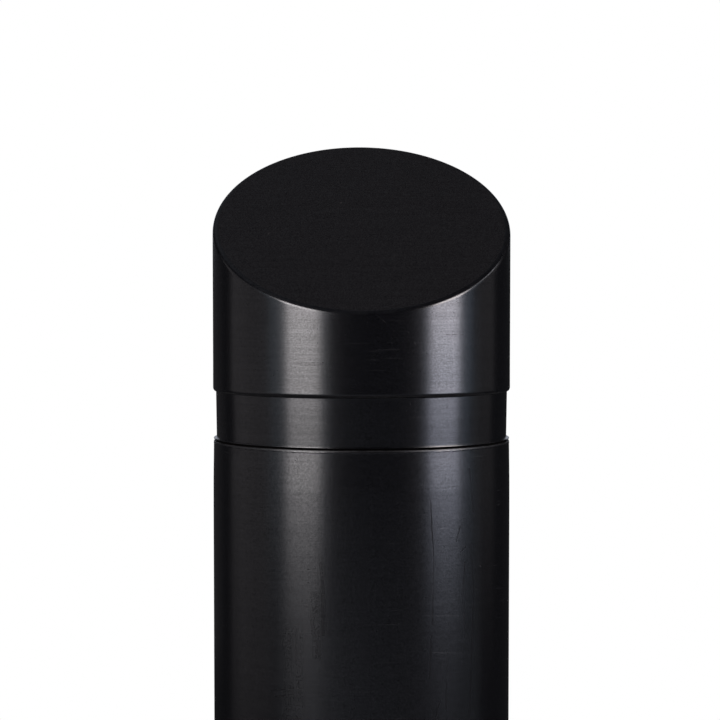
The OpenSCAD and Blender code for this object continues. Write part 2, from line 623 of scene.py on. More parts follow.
@dataclass(frozen=True)
class SealRubber:
    """Black seal rubber with a greyish bloom.

    Attributes:
        name: Name of the material.
        colour: Colour of clean rubber.
        bloom: Colour of the bloom.
        roughness: Roughness of clean rubber.
        bloom_dulling: How much rougher the bloom is.
        grain: Height of the grain, in millimetres.
        line_depth: Depth of the moulding lines round the ring, in millimetres.
    """

    name: str
    colour: Colour = (0.012, 0.012, 0.012)
    bloom: Colour = (0.045, 0.046, 0.048)
    roughness: float = 0.5
    bloom_dulling: float = 0.15
    grain: float = 0.02
    line_depth: float = 0.01

    def material(self, effects: Effects) -> Material:
        """Builds the finish.

        Args:
            effects: Shared groups.

        Returns:
            The material.
        """
        w, shader, place = start_material(self.name)
        skin = place_group(w, effects.grain, {
            "Vector": place, "Grain scale": 2200.0, "Peel scale": 500.0, "Mottle scale": 60.0,
        })
        lines = place_group(w, effects.streaks, {
            "Vector": place, "Stretch": (25.0, 25.0, 2400.0), "Cover": 0.7,
        })["Mask"]
        clouds = w.step(skin["Mottle"], low=0.4, high=0.75)
        w.feed(shader.inputs["Base Color"], w.blend(clouds, self.colour, self.bloom))
        w.feed(shader.inputs["Roughness"], w.scaled(clouds, self.bloom_dulling, self.roughness))
        height = w.total(w.times(skin["Grain"], self.grain), w.times(lines, -self.line_depth))
        w.feed(shader.inputs["Normal"], w.bump(height))
        return bpy.data.materials[self.name]


@dataclass(frozen=True)
class PadFoam:
    """Dark grey closed-cell foam.

    Attributes:
        name: Name of the material.
        colour: Colour of the cell walls.
        deep: Colour of the painted shade down in the cells.
        cell_scale: Cells to the metre.
        cell_depth: Depth of a cell, in millimetres.
        peel: Height of the swell under the cells, in millimetres.
    """

    name: str
    colour: Colour = (0.085, 0.086, 0.09)
    deep: Colour = (0.02, 0.02, 0.022)
    cell_scale: float = 900.0
    cell_depth: float = 0.25
    peel: float = 0.2

    def material(self, effects: Effects) -> Material:
        """Builds the finish.

        Args:
            effects: Shared groups.

        Returns:
            The material.
        """
        w, shader, place = start_material(self.name)
        inputs = {"Vector": place, "Scale": self.cell_scale}
        cells = w.add("ShaderNodeTexVoronoi", inputs, feature="SMOOTH_F1").outputs["Distance"]
        skin = place_group(w, effects.grain, {
            "Vector": place, "Grain scale": 3000.0, "Peel scale": 350.0, "Mottle scale": 40.0,
        })
        open_cells = w.minus(1.0, w.step(cells, low=0.15, high=0.5))
        # The cell floors take the darker colour. This is painted shade in the recesses, broken up by the
        # mottle.
        tone = w.times(open_cells, w.scaled(skin["Mottle"], by=0.8, plus=0.3))
        w.feed(shader.inputs["Base Color"], w.blend(tone, self.colour, self.deep))
        w.feed(shader.inputs["Roughness"], w.scaled(skin["Grain"], by=0.2, plus=0.75))
        height = w.total(w.times(open_cells, -self.cell_depth), w.times(skin["Peel"], self.peel))
        w.feed(shader.inputs["Normal"], w.bump(height))
        return bpy.data.materials[self.name]


# Turned shells

class Zone(IntEnum):
    """Which finish a stretch of a turned outline takes."""

    SKIN = 0
    FACE = 1
    CUT = 2
    INSIDE = 3
    SEAT = 4


@dataclass(frozen=True)
class Station:
    """One point of a turned outline, and what happens there all the way round.

    Attributes:
        radius: Distance from the axis.
        height: Height on the axis.
        lean: Share of the slanted face's slope that it follows.
        burr: Share of the burr that it carries.
        wave: Share of the wall's waviness that it has.
        bow: Radius of the rim's rounding, whose middle the point is.
        roll: How far round that rounding it is, from the wall at 0 to the slanted face at 1.
        wear: How much its edge is handled.
        zone: Finish of the stretch that ends here.
    """

    radius: float
    height: float
    lean: float = 0.0
    burr: float = 0.0
    wave: float = 0.0
    bow: float = 0.0
    roll: float = 0.0
    wear: float = 0.0
    zone: Zone = Zone.SKIN


MARKS = ("lean", "burr", "wave", "bow", "roll")


@dataclass(frozen=True)
class Corner(Station):
    """A corner of a turned outline.

    Attributes:
        fillet: Radius of its rounding.
        tall: How much taller than wide its rounding is.
        arc_steps: How many pieces its rounding has.
        steps: How many pieces the stretch before it has.
    """

    fillet: float = 0.0
    tall: float = 1.0
    arc_steps: int = 4
    steps: int = 1

    def station(self, place: Vector, wear: float = 0.0) -> Station:
        """Returns a station at the place that has the corner's marks."""
        marks = {mark: getattr(self, mark) for mark in MARKS}
        return Station(place.x, place.y, wear=wear, zone=self.zone, **marks)


@dataclass
class Outline:
    """Outline of a turned piece in radius and height, with the material on its left.

    Attributes:
        corners: Its corners in order.
        closed: Whether the last corner runs back to the first.
        support: Distance from a rounding at which the straight stretch has a station of its own.
    """

    corners: list[Corner]
    closed: bool = True
    support: float = 0.4 * MM

    def bend(self, number: int) -> list[Station]:
        """Rounds one corner.

        Args:
            number: Which corner.

        Returns:
            The stations of its rounding, or the bare corner.
        """
        corner = self.corners[number]
        here = Vector((corner.radius, corner.height))
        is_end = not self.closed and number in (0, len(self.corners) - 1)
        if is_end or not corner.fillet:
            return [corner.station(here, corner.wear)]
        before = self.corners[number - 1]
        after = self.corners[(number + 1) % len(self.corners)]
        coming = (here - Vector((before.radius, before.height))).normalized()
        going = (Vector((after.radius, after.height)) - here).normalized()
        side = math.copysign(1.0, coming.cross(going))
        inward = Vector((-coming.y, coming.x)) * side
        turn = coming.angle(going)
        start = here - coming * corner.fillet * math.tan(turn / 2)
        stations = []
        for step in range(corner.arc_steps + 1):
            share = step / corner.arc_steps
            angle = share * turn
            place = start + (coming * math.sin(angle) + inward * (1 - math.cos(angle))) * corner.fillet
            place.y = here.y + (place.y - here.y) * corner.tall
            stations.append(corner.station(place, corner.wear * math.sin(share * math.pi)))
        return stations

    def stretch(self, start: Station, end: Station, steps: int) -> list[Station]:
        """Fills a straight stretch.

        Args:
            start: Station before it.
            end: Station after it.
            steps: How many pieces it has.

        Returns:
            The stations between the two.
        """
        length = math.hypot(end.radius - start.radius, end.height - start.height)
        shares = {step / steps for step in range(1, steps)}
        if length > 4 * self.support:
            shares |= {self.support / length, 1 - self.support / length}

        def between(mark: str, share: float) -> float:
            """Returns the mark's value that share of the way along."""
            return getattr(start, mark) * (1 - share) + getattr(end, mark) * share

        marks = ("radius", "height", *MARKS)
        return [
            Station(zone=end.zone, **{mark: between(mark, share) for mark in marks})
            for share in sorted(shares)
        ]

    def stations(self) -> list[Station]:
        """Lists every station of the outline, in order.

        Returns:
            The stations. A closed outline ends on a copy of its first.
        """
        bends = [self.bend(number) for number in range(len(self.corners))]
        path = list(bends[0])
        for corner, bend in zip(self.corners[1:], bends[1:]):
            path += self.stretch(path[-1], bend[0], corner.steps) + bend
        if self.closed:
            path += self.stretch(path[-1], bends[0][0], self.corners[0].steps) + [bends[0][0]]
        return path

    def mesh(self, name: str) -> bpy.types.Mesh:
        """Makes the outline a mesh of loose points that carry the stations' marks.

        Args:
            name: Name of the mesh.

        Returns:
            The mesh.
        """
        stations = self.stations()
        mesh = bpy.data.meshes.new(name)
        mesh.from_pydata([(s.radius, 0.0, s.height) for s in stations], [], [])
        for mark in (*MARKS, "wear"):
            values = mesh.attributes.new(mark, "FLOAT", "POINT")
            values.data.foreach_set("value", [getattr(s, mark) for s in stations])
        zones = mesh.attributes.new("zone", "INT", "POINT")
        zones.data.foreach_set("value", [int(s.zone) for s in stations])
        return mesh


def bake_nodes(piece: Object, tree: Tree, inputs: dict[str, object]) -> Object:
    """Runs a Geometry Nodes tree on a piece and keeps the result as a plain mesh.

    Args:
        piece: Object whose mesh goes in.
        tree: Tree to run.
        inputs: Values for the tree's named inputs.

    Returns:
        The same object with its new mesh and no modifier.
    """
    bpy.context.scene.collection.objects.link(piece)
    modifier = piece.modifiers.new(tree.name, "NODES")
    modifier.node_group = tree
    for item in tree.interface.items_tree:
        if item.in_out == "INPUT" and item.name in inputs:
            modifier[item.identifier] = inputs[item.name]
    evaluated = piece.evaluated_get(bpy.context.evaluated_depsgraph_get())
    mesh = bpy.data.meshes.new_from_object(evaluated)
    piece.modifiers.remove(modifier)
    rough = piece.data
    piece.data = mesh
    bpy.data.meshes.remove(rough)
    mesh.name = piece.name
    return piece


@dataclass
class ShellTurner:
    """Geometry Nodes tree that turns an outline about the Z axis, and can lean it to the slanted face.

    Attributes:
        burr_scale: Features of the burr to the metre.
        burr_gaps: Levels of noise between which the burr goes from none to full.
        wave_scale: Waves of the wall to the metre.
        wave_rise: How closely the waves follow each other upwards.
        round_radius: Radius of the circle on which burr and waves are drawn.
        crease: Angle past which an edge stays sharp, in degrees.
        tree: The tree, built once for every turned piece.
    """

    burr_scale: float = 420.0
    burr_gaps: Range = (0.4, 0.65)
    wave_scale: float = 9.0
    wave_rise: float = 0.5
    round_radius: float = 0.12
    crease: float = 32.0
    tree: Tree = field(init=False)

    def __post_init__(self) -> None:
        """Builds the tree."""
        self.tree = bpy.data.node_groups.new("turned_shell", "GeometryNodeTree")
        inputs = {
            "Outline": "Geometry", "Segments": "Int", "Slope": "Float",
            "Burr height": "Float", "Wave depth": "Float", "Seed": "Float",
        }
        inputs |= {self.finish_input(zone): "Material" for zone in Zone}
        declare(self.tree, inputs, {"Shell": "Geometry"})
        self.wire()

    @staticmethod
    def finish_input(zone: Zone) -> str:
        """Returns the name of the input that takes the zone's finish."""
        return f"{zone.name.capitalize()} finish"

    def wire(self) -> None:
        """Joins up the tree."""
        w = Wiring(self.tree)
        given = w.add("NodeGroupInput").outputs
        outline = given["Outline"]
        count = w.add("GeometryNodeAttributeDomainSize", {"Geometry": outline}).outputs["Point Count"]
        index = w.add("GeometryNodeInputIndex").outputs["Index"]

        def named(name: str, kind: str) -> Socket:
            """Returns the named mark of whatever mesh it is used on."""
            inputs = {"Name": name}
            return w.add("GeometryNodeInputNamedAttribute", inputs, data_type=kind).outputs["Attribute"]

        def sampled(value: Socket, station: Socket, kind: str = "FLOAT") -> Socket:
            """Returns the outline's value at a station."""
            inputs = {"Geometry": outline, "Value": value, "Index": station}
            return w.add("GeometryNodeSampleIndex", inputs, data_type=kind).outputs["Value"]

        def mark(name: str, station: Socket, kind: str = "FLOAT") -> Socket:
            """Returns the outline's named mark at a station."""
            return sampled(named(name, kind), station, kind)

        rings = w.whole("ADD", given["Segments"], 1)
        grid = w.add("GeometryNodeMeshGrid", {"Vertices X": rings, "Vertices Y": count}).outputs["Mesh"]
        station = w.whole("MODULO", index, count)
        ring = w.whole("DIVIDE_FLOOR", index, count)
        angle = w.times(ring, w.math("DIVIDE", math.tau, given["Segments"]))
        sine = w.math("SINE", angle)
        cosine = w.math("COSINE", angle)
        own_place = w.add("GeometryNodeInputPosition").outputs["Position"]
        place = w.split(sampled(own_place, station, "FLOAT_VECTOR"))
        radius, height = place["X"], place["Z"]

        def wandering(level: Plug, scale: float, detail: float) -> Socket:
            """Returns seeded noise on the round wall."""
            spot = w.joined(w.times(sine, self.round_radius), w.times(cosine, self.round_radius), level)
            inputs = {"Vector": spot, "W": given["Seed"], "Scale": scale, "Detail": detail}
            return w.add("ShaderNodeTexNoise", inputs, noise_dimensions="4D").outputs["Fac"]

        ragged = w.step(wandering(0.0, self.burr_scale, detail=2.0), *self.burr_gaps)
        burr = w.times(mark("burr", station), given["Burr height"], ragged)
        wavy = wandering(w.times(height, self.wave_rise), self.wave_scale, detail=1.0)
        wave = w.times(mark("wave", station), given["Wave depth"], wavy)
        reach = w.minus(w.total(radius, burr), wave)
        depth = w.times(reach, w.times(cosine, -1.0))
        slope = w.times(mark("lean", station), given["Slope"])
        level = w.scaled(depth, slope, height)

        length = w.math("SQRT", w.scaled(given["Slope"], given["Slope"], 1.0))
        face_y = w.math("DIVIDE", given["Slope"], length)
        face_z = w.math("DIVIDE", 1.0, length)
        swing = w.math("ARCCOSINE", w.times(cosine, face_y))
        bow = w.math("DIVIDE", mark("bow", station), w.math("SINE", swing))
        to_face = w.times(swing, mark("roll", station))
        out = w.scaled(bow, w.math("SINE", w.minus(swing, to_face)), reach)
        up = w.times(bow, w.math("SINE", to_face))
        front = w.scaled(out, cosine, w.times(up, face_y))
        turned = w.joined(w.times(out, sine), w.times(front, -1.0), w.scaled(up, face_z, level))

        shell = w.first("GeometryNodeSetPosition", {"Geometry": grid, "Position": turned})
        shell = w.first("GeometryNodeStoreNamedAttribute", {
            "Geometry": shell, "Name": "wear", "Value": mark("wear", station),
        }, data_type="FLOAT", domain="POINT")
        strip = w.whole("ADD", w.whole("MODULO", index, w.whole("SUBTRACT", count, 1)), 1)
        shell = w.first("GeometryNodeStoreNamedAttribute", {
            "Geometry": shell, "Name": "zone", "Value": mark("zone", strip, "INT"),
        }, data_type="INT", domain="FACE")
        shell = w.first("GeometryNodeMergeByDistance", {"Geometry": shell, "Distance": WELD})
        shell = w.first("GeometryNodeSetShadeSmooth", {"Geometry": shell}, domain="FACE")
        bent = w.add("GeometryNodeInputMeshEdgeAngle").outputs["Unsigned Angle"]
        creased = w.math("GREATER_THAN", bent, math.radians(self.crease))
        shell = w.first("GeometryNodeSetShadeSmooth", {
            "Geometry": shell, "Selection": creased, "Shade Smooth": False,
        }, domain="EDGE")
        shell = w.first("GeometryNodeRealizeInstances", {"Geometry": shell})
        own_zone = named("zone", "INT")
        for zone in Zone:
            pair = {2: own_zone, 3: int(zone)}
            chosen = w.first("FunctionNodeCompare", pair, data_type="INT", operation="EQUAL")
            shell = w.first("GeometryNodeSetMaterial", {
                "Geometry": shell,
                "Selection": chosen,
                "Material": given[self.finish_input(zone)],
            })
        w.add("NodeGroupOutput", {"Shell": shell})

    def turn(
        self, name: str, outline: Outline, finishes: dict[Zone, Material], segments: int,
        slope: float = 0.0, burr_height: float = 0.0, wave_depth: float = 0.0, seed: float = 0.0,
    ) -> Object:
        """Turns one piece.

        Args:
            name: Name of the piece.
            outline: Its outline.
            finishes: The finish of each zone that the outline has.
            segments: How many flat pieces go round it.
            slope: Rise of the slanted face for each metre towards +Y.
            burr_height: Height of the burr.
            wave_depth: Depth of the wall's waviness.
            seed: Picks the burr and the waves.

        Returns:
            The piece as a plain mesh.
        """
        inputs = {
            "Segments": segments, "Slope": slope, "Burr height": burr_height,
            "Wave depth": wave_depth, "Seed": seed,
        }
        inputs |= {self.finish_input(zone): finish for zone, finish in finishes.items()}
        piece = bpy.data.objects.new(name, outline.mesh(name))
        return bake_nodes(piece, self.tree, inputs)


def settle(piece: Object, node: str) -> Object:
    """Puts a finished piece in the place of its node.

    Args:
        piece: Finished piece.
        node: Node that it stands for, whose body it rides on.

    Returns:
        The piece.
    """
    body = frame["nodes"][node]["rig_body"]
    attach(piece, body)
    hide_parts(node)
    LOG.info("%s stands for %s on %s, %d faces", piece.name, node, body, len(piece.data.polygons))
    return piece


# The sleeve's pieces

class Row(Enum):
    """The two rows of rings and pads."""

    LOWER = "lower"
    UPPER = "upper"

    @property
    def ring(self) -> str:
        """Node of the row's seal ring."""
        return f"seal_ring_{self.value}"

    def pad(self, side: "Side") -> str:
        """Returns the node of the row's pad on a side."""
        return f"foam_pad_{self.value}_{side.name.lower()}"


class Side(Enum):
    """The sides on which pads sit, with their turn from the front in degrees."""

    FRONT = 0.0
    RIGHT = 90.0
    BACK = 180.0
    LEFT = 270.0


TUBE_MARKS = (
    Scratch((25.4, 0.786), (26.8, 0.740)),
    Scratch((26.8, 0.740), (26.4, 0.689)),
    Scratch((25.7, 0.681), (25.1, 0.648), width=1.0 * MM),
    Scratch((43.6, 0.809), (45.8, 0.774)),
    Scratch((44.1, 0.750), (46.2, 0.713)),
    Scratch((46.2, 0.713), (43.9, 0.614)),
    Scratch((41.0, 0.736), (40.4, 0.708)),
    Scratch((40.4, 0.708), (41.6, 0.677)),
    Scratch((38.8, 0.764), (37.0, 0.753)),
    Scratch((41.5, 0.748), (39.1, 0.744)),
    Scratch((32.9, 0.667), (32.2, 0.622)),
    Scratch((29.6, 0.630), (27.6, 0.615)),
    Scratch((-36.3, 0.6365), (-26.3, 0.641)),
    Scratch((-34.7, 0.6325), (-26.4, 0.636)),
    Scratch((-15.2, 0.738), (-14.8, 0.684), -0.6, 3.6 * MM),
    Scratch((-18.4, 0.712), (-17.4, 0.666), -0.4, 6.0 * MM),
    Scratch((-27.0, 0.682), (-27.0, 0.600), -0.4, 13.0 * MM),
    Scratch((29.8, 0.7637), (32.8, 0.7633), 1.0, 0.8 * MM),
    Scratch((23.1, 0.6971), (41.0, 0.6940), 0.6, 0.6 * MM),
    Scratch((26.5, 0.6679), (39.3, 0.6655), 0.6, 0.6 * MM),
)

CAP_MARKS = (
    Scratch((32.5, 0.9316), (34.0, 0.9223), 0.5, 0.5 * MM),
    Scratch((34.0, 0.9223), (34.7, 0.9150), 0.5, 0.5 * MM),
    Scratch((30.5, 0.9151), (28.6, 0.9110), 0.4, 0.6 * MM),
    Scratch((28.6, 0.9110), (27.6, 0.9041), 0.4, 0.6 * MM),
    Scratch((35.3, 0.9150), (35.6, 0.8892), 0.3, 0.8 * MM),
    Scratch((4.4, 0.9290), (8.3, 0.9223), 0.5, 0.4 * MM),
    Scratch((18.7, 0.9079), (19.5, 0.9061), 0.8, 0.5 * MM),
    Scratch((32.2, 0.9132), (39.9, 0.9129), -0.5, 0.6 * MM),
    Scratch((-25.1, 0.8919), (-15.0, 0.8922), -0.4, 0.6 * MM),
    Scratch((-23.9, 0.8902), (-15.8, 0.8904), -0.3, 0.6 * MM),
)

TUBE_FINISHES = {
    Zone.SKIN: SatinPlastic(
        "extruded_tube_skin", roughness=0.225, glint=3.2, ripple=0.2, peel=0.032, pits=0.12,
        scuffs=0.25, marks=TUBE_MARKS,
    ),
    Zone.CUT: SatinPlastic(
        "scraped_tube_end", roughness=0.36, grain=0.03, scuffs=0.9,
        scuff_stretch=(60.0, 60.0, 2500.0),
    ),
    Zone.INSIDE: SatinPlastic(
        "tube_bore", roughness=0.38, peel=0.05, scuffs=0.8, scuff_stretch=(500.0, 500.0, 5.0),
    ),
}

CAP_FINISHES = {
    Zone.SKIN: SatinPlastic(
        "moulded_cap_skin", pits=0.3, scuffs=0.3, glint=1.8, wiped=0.7,
        grain_stretch=(0.6, 0.6, 1.0), marks=CAP_MARKS,
    ),
    # The slanted face is the same plastic as the skin. Its warmer, redder colour is a painted tint of the
    # room light that the face mirrors, on top of the plastic's own colour.
    Zone.FACE: SatinPlastic(
        "moulded_cap_face", colour=(0.0030, 0.0022, 0.0026), roughness=0.4, fleck=0.6, glint=5.0,
        pits=0.1, dust=0.12, scuffs=0.2,
    ),
    Zone.INSIDE: SatinPlastic(
        "moulded_cap_inside", roughness=0.8, gloss=0.12, film=0.0, pits=0.2, scuffs=0.3,
    ),
    # Seat wall inside the open seam: a darker colour, full roughness and almost no mirror. This is
    # painted shade in the gap between cap and tube.
    Zone.SEAT: SatinPlastic(
        "grimy_cap_seat", colour=(0.0017, 0.0015, 0.0015), roughness=0.9, gloss=0.02, film=0.0,
        pits=0.1, dust=0.0, scuffs=0.0,
    ),
}


def dress(finishes: dict[Zone, SatinPlastic], effects: Effects) -> dict[Zone, Material]:
    """Returns the material of each zone's finish."""
    return {zone: finish.material(effects) for zone, finish in finishes.items()}


@dataclass
class SleeveTube:
    """Extruded tube, cut square, with its top end drawn in and scraped round.

    Attributes:
        node: Node that it stands for.
        wall: Thickness of its wall.
        toe_in: How far its cut end has drawn in, on the radius.
        toe_height: Length over which it draws in most.
        spigot_depth: Distance below the end at which it starts to draw in.
        press_in: How far it has drawn in at toe_height.
        press_bend: Radius of the bend where it starts.
        toe_bend: Radius of the bend at toe_height.
        edge_radius: Rounding of the scraped outer edge.
        mouth_chamfer: Chamfer inside the end.
        base_chamfer: Chamfer round the base.
        burr_drop: Distance of the burr below the end.
        burr_width: Width of the strip that carries the burr.
        burr_height: How far the burr stands out.
        wave_depth: Depth of the wall's waviness.
        wave_foot: Height above the base at which the waviness is full.
        segments: How many flat pieces go round it.
        seed: Picks the burr and the waves.
    """

    node: str = "sleeve_tube"
    wall: float = 5 * MM
    toe_in: float = 0.55 * MM
    toe_height: float = 31 * MM
    spigot_depth: float = 57 * MM
    press_in: float = 0.1 * MM
    press_bend: float = 0.4
    toe_bend: float = 0.5
    edge_radius: float = 0.5 * MM
    mouth_chamfer: float = 1 * MM
    base_chamfer: float = 2 * MM
    burr_drop: float = 1.7 * MM
    burr_width: float = 0.9 * MM
    burr_height: float = 0.26 * MM
    wave_depth: float = 0.12 * MM
    wave_foot: float = 60 * MM
    segments: int = 720
    seed: float = 3.0

    def outline(self) -> Outline:
        """Draws the tube's outline.

        Returns:
            The outline, from the foot of the bore outwards.
        """
        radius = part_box(self.node)[1].x
        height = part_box(self.node)[1].z
        bore = radius - self.wall
        end = radius - self.toe_in
        burr = height - self.burr_drop
        pressed = radius - self.press_in
        return Outline([
            Corner(bore, 0.0, zone=Zone.INSIDE, fillet=FINE, steps=8),
            Corner(radius - self.base_chamfer, 0.0, zone=Zone.CUT, fillet=FINE),
            Corner(radius, self.base_chamfer, zone=Zone.CUT, fillet=FINE, wear=1.0),
            Corner(radius, self.wave_foot, wave=1.0, steps=4),
            Corner(radius, height - self.spigot_depth, wave=1.0, steps=40, fillet=self.press_bend),
            Corner(pressed, height - self.toe_height, wave=0.6, steps=3, fillet=self.toe_bend),
            Corner(end, burr - self.burr_width / 2, steps=3),
            Corner(end, burr, burr=1.0),
            Corner(end, burr + self.burr_width / 2),
            Corner(end, height, zone=Zone.CUT, fillet=self.edge_radius, arc_steps=8, wear=1.0),
            Corner(bore + self.mouth_chamfer, height, zone=Zone.CUT, fillet=FINE),
            Corner(bore, height - self.mouth_chamfer, zone=Zone.CUT, fillet=FINE),
        ])

    def build(self, turner: ShellTurner, effects: Effects) -> Object:
        """Turns the tube and dresses it.

        Args:
            turner: Tree for turned shells.
            effects: Shared groups.

        Returns:
            The piece.
        """
        piece = turner.turn(
            "sleeve_tube_shell", self.outline(), dress(TUBE_FINISHES, effects), self.segments,
            burr_height=self.burr_height, wave_depth=self.wave_depth, seed=self.seed,
        )
        return settle(piece, self.node)


@dataclass
class SlantCap:
    """Hollow moulded cap: spigot with two ring grooves, recessed neck and slanted head.

    Attributes:
        node: Node that it stands for.
        slant: Angle of the slanted face.
        bore: Radius of the spigot's bore.
        spigot: Radius of the spigot.
        spigot_chamfer: Chamfer at the spigot's leading edge.
        groove: Radius of the grooves' floors.
        groove_gap: Running gap below and above a ring.
        seat: Radius of the ring on which the cap stands.
        seam: Height of the open seam under the lip.
        lip: Thickness of the lip.
        lip_radius: Radius of the lip at its lower edge.
        lip_draft: How much narrower it is at its upper edge.
        lip_low_edge: Rounding of the lower edge.
        lip_high_edge: Rounding of the upper edge.
        lip_wear: How much the two edges are handled.
        recess: Height of the recess, from the tube's end to the head's shoulder.
        neck_top: Radius of the neck under the shoulder.
        neck_foot: Radius of the neck at the lip.
        neck_top_fillet: Rounding under the shoulder.
        neck_foot_fillet: Rounding at the lip.
        head_front: Height of the head at the low edge of the slanted face.
        head_wall: Wall of the head.
        wall_stops: Where on the way up the wall its even stretch starts and ends, as shares.
        plate: Thickness of the slanted face.
        ceiling_fillet: Rounding inside, under the slanted face.
        hollow_fillet: Rounding inside, where the bore widens into the head.
        rim_radius: Rounding round the slanted face.
        rim_steps: How many pieces that rounding has.
        rim_wear: How much the rim is handled.
        skirt_radius: Rounding of the head's lower edge.
        skirt_tall: How much taller than wide that rounding is.
        skirt_wear: How much the lower edge is handled.
        wave_depth: Depth of the wall's waviness.
        segments: How many flat pieces go round it.
        seed: Picks the waves.
    """

    node: str = "slant_cap"
    slant: float = math.radians(30)
    bore: float = 110.2 * MM
    spigot: float = 114.4 * MM
    spigot_chamfer: float = 2 * MM
    groove: float = 112.8 * MM
    groove_gap: float = 0.15 * MM
    seat: float = 117.5 * MM
    seam: float = 1.75 * MM
    lip: float = 0.65 * MM
    lip_radius: float = 119.45 * MM
    lip_draft: float = 0.14 * MM
    lip_low_edge: float = 0.08 * MM
    lip_high_edge: float = 0.12 * MM
    lip_wear: float = 0.3
    recess: float = 40 * MM
    neck_top: float = 117.6 * MM
    neck_foot: float = 117.1 * MM
    neck_top_fillet: float = 0.3 * MM
    neck_foot_fillet: float = 0.2 * MM
    head_front: float = 65.5 * MM
    head_wall: float = 5 * MM
    wall_stops: Range = (0.15, 0.85)
    plate: float = 5 * MM
    ceiling_fillet: float = 2 * MM
    hollow_fillet: float = 3 * MM
    rim_radius: float = 4.5 * MM
    rim_steps: int = 12
    rim_wear: float = 0.12
    skirt_radius: float = 2.2 * MM
    skirt_tall: float = 1.35
    skirt_wear: float = 0.1
    wave_depth: float = 0.1 * MM
    segments: int = 480
    seed: float = 8.0

    def grooves(self) -> list[Corner]:
        """Draws the two ring grooves, a running gap clear of the rings.

        Returns:
            Their corners, from the lower groove up.
        """
        corners = []
        for row in Row:
            low, high = (corner.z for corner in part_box(row.ring))
            foot, top = low - self.groove_gap, high + self.groove_gap
            places = [(self.spigot, foot), (self.groove, foot), (self.groove, top), (self.spigot, top)]
            corners += [Corner(*place, zone=Zone.INSIDE) for place in places]
        return corners

    def outline(self) -> Outline:
        """Draws the cap's outline.

        Returns:
            The outline, from the middle of the ceiling down, out and up to the middle of the face.
        """
        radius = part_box("sleeve_tube")[1].x
        seat_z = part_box("sleeve_tube")[1].z
        foot_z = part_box(self.node)[0].z
        lip_z = seat_z + self.seam
        lip_top_z = lip_z + self.lip
        lip_top_radius = self.lip_radius - self.lip_draft
        shoulder_z = seat_z + self.recess
        face_z = shoulder_z + self.head_front + radius * math.tan(self.slant)
        ceiling_z = face_z - self.plate / math.cos(self.slant)
        hollow = radius - self.head_wall
        widen_z = shoulder_z + self.head_wall
        inside = Zone.INSIDE

        def on_wall(share: float) -> Corner:
            """Returns a point of the head's wall that share of the way up to the rim."""
            height = shoulder_z + (face_z - shoulder_z) * share
            return Corner(radius, height, lean=share, wave=1.0, steps=10)

        def on_rim(roll: float, steps: int = 1) -> Corner:
            """Returns a point that far round the rim's rounding."""
            wear = self.rim_wear * math.sin(math.pi * roll)
            return Corner(
                radius - self.rim_radius, face_z - self.rim_radius / math.cos(self.slant), lean=1.0,
                wave=1 - roll, bow=self.rim_radius, roll=roll, wear=wear, steps=steps,
            )

        return Outline([
            Corner(0.0, ceiling_z, lean=1.0, zone=inside),
            Corner(hollow, ceiling_z, lean=1.0, zone=inside, fillet=self.ceiling_fillet, steps=6),
            Corner(hollow, widen_z, zone=inside, fillet=self.hollow_fillet, steps=6),
            Corner(self.bore, widen_z - hollow + self.bore, zone=inside, fillet=self.hollow_fillet),
            Corner(self.bore, foot_z, zone=inside, fillet=FINE, steps=4),
            Corner(self.spigot - self.spigot_chamfer / 2, foot_z, zone=inside, fillet=FINE),
            Corner(self.spigot, foot_z + self.spigot_chamfer, zone=inside, fillet=FINE),
            *self.grooves(),
            Corner(self.spigot, seat_z, zone=inside, fillet=FINE),
            Corner(self.seat, seat_z, zone=inside),
            # The seat wall in the seam takes the painted-shade finish.
            Corner(self.seat, lip_z, zone=Zone.SEAT),
            Corner(self.lip_radius, lip_z, fillet=self.lip_low_edge, wear=self.lip_wear),
            Corner(lip_top_radius, lip_top_z, fillet=self.lip_high_edge, wear=self.lip_wear),
            Corner(self.neck_foot, lip_top_z, fillet=self.neck_foot_fillet),
            Corner(self.neck_top, shoulder_z, fillet=self.neck_top_fillet, steps=4),
            Corner(
                radius, shoulder_z, fillet=self.skirt_radius, tall=self.skirt_tall, arc_steps=8,
                wear=self.skirt_wear,
            ),
            *(on_wall(share) for share in self.wall_stops),
            on_rim(0.0, steps=4),
            *(on_rim(step / self.rim_steps) for step in range(1, self.rim_steps + 1)),
            replace(on_rim(1.0), radius=0.0, zone=Zone.FACE, steps=12),
        ], closed=False)

    def build(self, turner: ShellTurner, effects: Effects) -> Object:
        """Turns the cap and dresses it.

        Args:
            turner: Tree for turned shells.
            effects: Shared groups.

        Returns:
            The piece.
        """
        piece = turner.turn(
            "slant_cap_shell", self.outline(), dress(CAP_FINISHES, effects), self.segments,
            slope=math.tan(self.slant), wave_depth=self.wave_depth, seed=self.seed,
        )
        return settle(piece, self.node)


@dataclass
class SealRings:
    """Rubber rings in the spigot's grooves.

    Attributes:
        thickness: Radial thickness of a ring.
        crown: Rounding of its outer corners.
        heel: Rounding of its inner corners.
        segments: How many flat pieces go round it.
    """

    thickness: float = 1.9 * MM
    crown: float = 0.9 * MM
    heel: float = 0.4 * MM
    segments: int = 360

    def build(self, turner: ShellTurner, effects: Effects) -> list[Object]:
        """Turns the rings and dresses them.

        Args:
            turner: Tree for turned shells.
            effects: Shared groups.

        Returns:
            The pieces.
        """
        rubber = {Zone.SKIN: SealRubber("seal_rubber").material(effects)}
        pieces = []
        for row in Row:
            low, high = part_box(row.ring)
            inner = high.x - self.thickness
            outline = Outline([
                Corner(inner, low.z, fillet=self.heel),
                Corner(high.x, low.z, fillet=self.crown, arc_steps=6),
                Corner(high.x, high.z, fillet=self.crown, arc_steps=6),
                Corner(inner, high.z, fillet=self.heel),
            ])
            piece = turner.turn(f"{row.ring}_band", outline, rubber, self.segments)
            pieces.append(settle(piece, row.ring))
        return pieces


